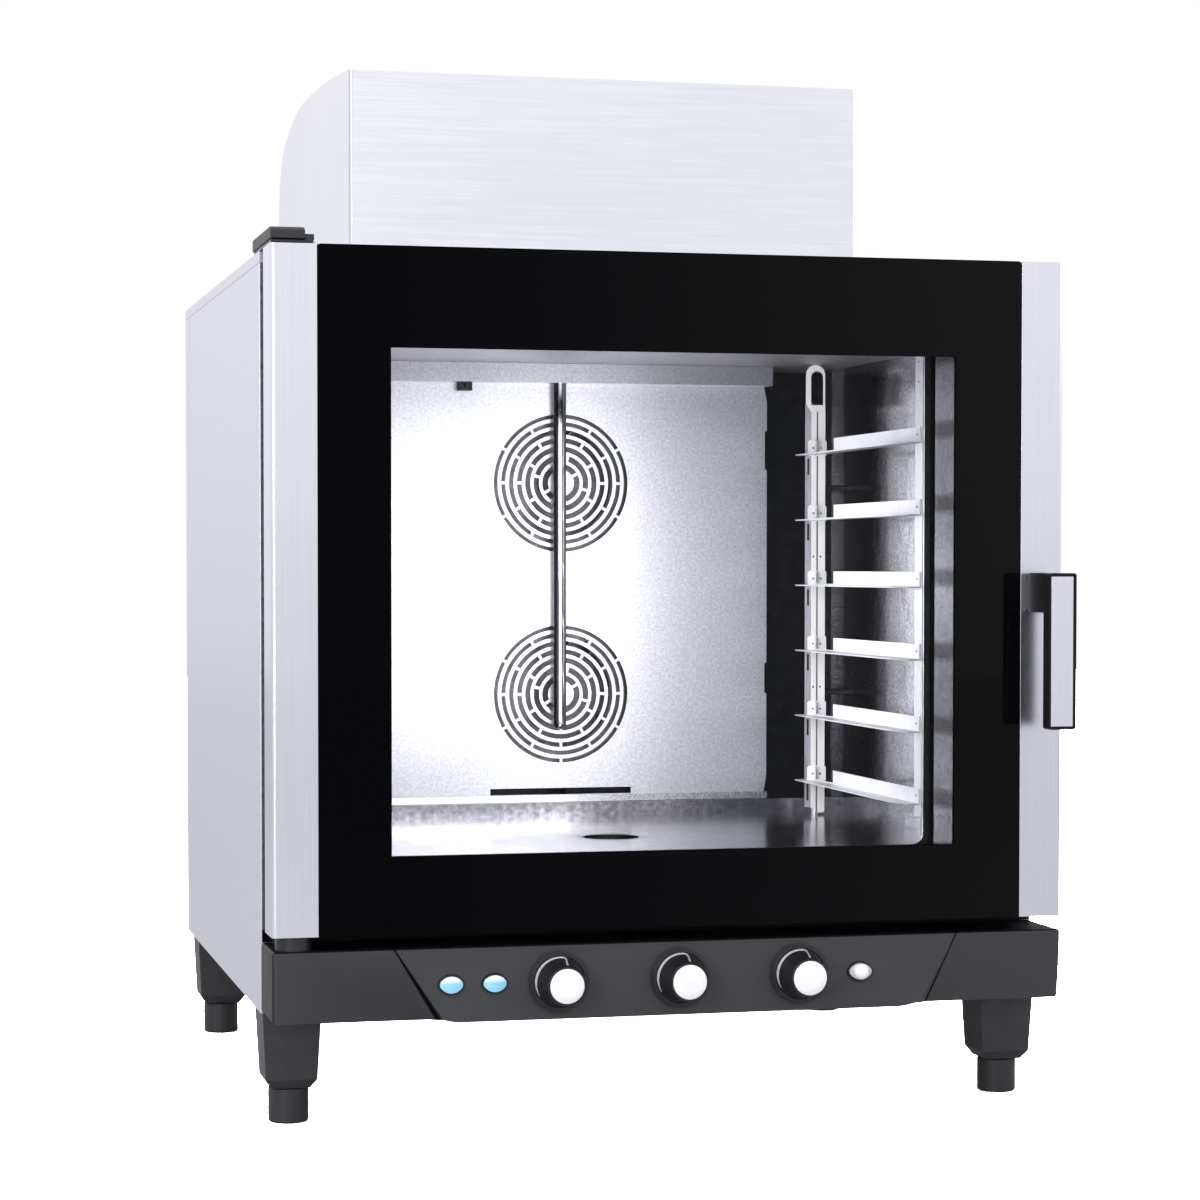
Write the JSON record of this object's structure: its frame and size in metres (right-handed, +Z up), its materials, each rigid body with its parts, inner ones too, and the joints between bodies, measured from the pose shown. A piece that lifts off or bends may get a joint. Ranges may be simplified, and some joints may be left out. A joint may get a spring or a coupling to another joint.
{
  "type": "gas pastry oven",
  "caption": "Free-standing gas convection pastry oven with a side-hung glass door, tray racks, fans behind a slotted guard, knobs and a flue hood.",
  "frame": {"origin": "middle of the box's base, on the floor between the feet", "axes": "+Z up, +X to the user's right, -Y towards the user"},
  "size_m": [0.86, 0.882, 1.15],
  "materials": {
    "casing_steel": "fine grain satin",
    "frame_steel": "satin",
    "chamber_steel": "mirror-like rolled",
    "chrome_wire": "polished",
    "zinc_steel": "zinc plated",
    "fire_steel": "heat stained",
    "brass_body": "cast",
    "motor_paint": "satin black",
    "panel_plastic": "fine texture",
    "leg_plastic": "satin",
    "knob_plastic": "satin",
    "cap_plastic": "satin white",
    "lamp_plastic": "clear pale blue",
    "rim_plastic": "gloss",
    "switch_plastic": "moulded",
    "seal_rubber": "matt",
    "wool": "mineral wool",
    "cap_black": "fine texture",
    "hinge_steel": "black",
    "door_glass": "black printed border",
    "clear_glass": "clear",
    "profile_alu": "satin anodised",
    "door_black": "satin black",
    "handle_black": "satin black",
    "insert_alu": "satin anodised"
  },
  "bodies": {
    "oven_body": {"side_panel_left": "casing_steel", "side_panel_right": "casing_steel", "top_cover": "casing_steel", "back_panel": "zinc_steel", "base_pan": "zinc_steel", "front_frame": "frame_steel", "control_panel": "panel_plastic", "knob_bezels": "knob_plastic", "panel_rims": "knob_plastic", "lamp_lenses": "lamp_plastic", "switch_block": "switch_plastic", "gas_valve": "brass_body", "burner": "fire_steel", "heat_exchanger": "fire_steel", "flue_pipe": "frame_steel", "hood_shell": "casing_steel", "cavity_floor": "chamber_steel", "cavity_roof": "chamber_steel", "cavity_side_left": "chamber_steel", "cavity_side_right": "chamber_steel", "cavity_back": "chamber_steel", "drain_pipe": "frame_steel", "steam_pipe": "chrome_wire", "water_valve": "zinc_steel", "temperature_probe": "cap_black", "fan_guard": "chamber_steel", "fan_motors": "motor_paint", "rack_posts": "chrome_wire", "rack_rails_left": "chrome_wire", "rack_rails_right": "chrome_wire", "insulation": "wool", "door_gasket": "seal_rubber", "hinge_cap": "cap_black", "hinge_plate_top": "hinge_steel", "hinge_pin_bottom": "hinge_steel", "latch_keeper": "frame_steel", "leg_blocks": "leg_plastic", "cable_gland": "cap_black"},
    "door": {"door_outer_glass": "door_glass", "door_inner_glass": "clear_glass", "door_profile_left": "profile_alu", "door_profile_right": "profile_alu", "door_rails": "door_black", "door_rear_frame": "door_black"},
    "handle": {"handle_lever": "handle_black", "handle_insert": "insert_alu", "latch_cam": "frame_steel"},
    "timer_control": {"timer_knob": "knob_plastic", "timer_knob_cap": "cap_plastic"},
    "temperature_control": {"temperature_knob": "knob_plastic", "temperature_knob_cap": "cap_plastic"},
    "steam_control": {"steam_knob": "knob_plastic", "steam_knob_cap": "cap_plastic"},
    "button": {"start_button": "rim_plastic"},
    "fan_upper": {"impeller_upper": "frame_steel"},
    "fan_lower": {"impeller_lower": "frame_steel"},
    "front_left_foot": {"foot_front_left": "leg_plastic"},
    "front_right_foot": {"foot_front_right": "leg_plastic"},
    "rear_left_foot": {"foot_rear_left": "leg_plastic"},
    "rear_right_foot": {"foot_rear_right": "leg_plastic"}
  },
  "joints": [
    {"name": "door_hinge", "type": "hinge", "parent": "oven_body", "child": "door", "pos_m": [-0.405, -0.354, 0.56], "axis": [0, 0, -1], "range_deg": [0, 120]},
    {"name": "handle_turn", "type": "hinge", "parent": "door", "child": "handle", "pos_m": [0.4035, -0.376, 0.558], "axis": [0, 1, 0], "range_deg": [0, 90]},
    {"name": "timer_turn", "type": "hinge", "parent": "oven_body", "child": "timer_control", "pos_m": [-0.131, -0.376, 0.1545], "axis": [0, 1, 0], "range_deg": [0, 300]},
    {"name": "temperature_turn", "type": "hinge", "parent": "oven_body", "child": "temperature_control", "pos_m": [0, -0.376, 0.1545], "axis": [0, 1, 0], "range_deg": [0, 270]},
    {"name": "steam_turn", "type": "hinge", "parent": "oven_body", "child": "steam_control", "pos_m": [0.131, -0.376, 0.1545], "axis": [0, 1, 0], "range_deg": [0, 270]},
    {"name": "button_press", "type": "slide", "parent": "oven_body", "child": "button", "axis": [0, 1, 0], "range_m": [0, 0.0025], "stiffness_N_per_m": 400, "springref_m": -0.002},
    {"name": "fan_upper_spin", "type": "hinge", "parent": "oven_body", "child": "fan_upper", "pos_m": [0, 0.224, 0.688], "axis": [0, 1, 0], "continuous": true},
    {"name": "fan_lower_spin", "type": "hinge", "parent": "oven_body", "child": "fan_lower", "pos_m": [0, 0.224, 0.429], "axis": [0, 1, 0], "continuous": true},
    {"name": "front_left_level", "type": "slide", "parent": "oven_body", "child": "front_left_foot", "axis": [0, 0, -1], "range_m": [0, 0.02]},
    {"name": "front_right_level", "type": "slide", "parent": "oven_body", "child": "front_right_foot", "axis": [0, 0, -1], "range_m": [0, 0.02]},
    {"name": "rear_left_level", "type": "slide", "parent": "oven_body", "child": "rear_left_foot", "axis": [0, 0, -1], "range_m": [0, 0.02]},
    {"name": "rear_right_level", "type": "slide", "parent": "oven_body", "child": "rear_right_foot", "axis": [0, 0, -1], "range_m": [0, 0.02]}
  ]
}
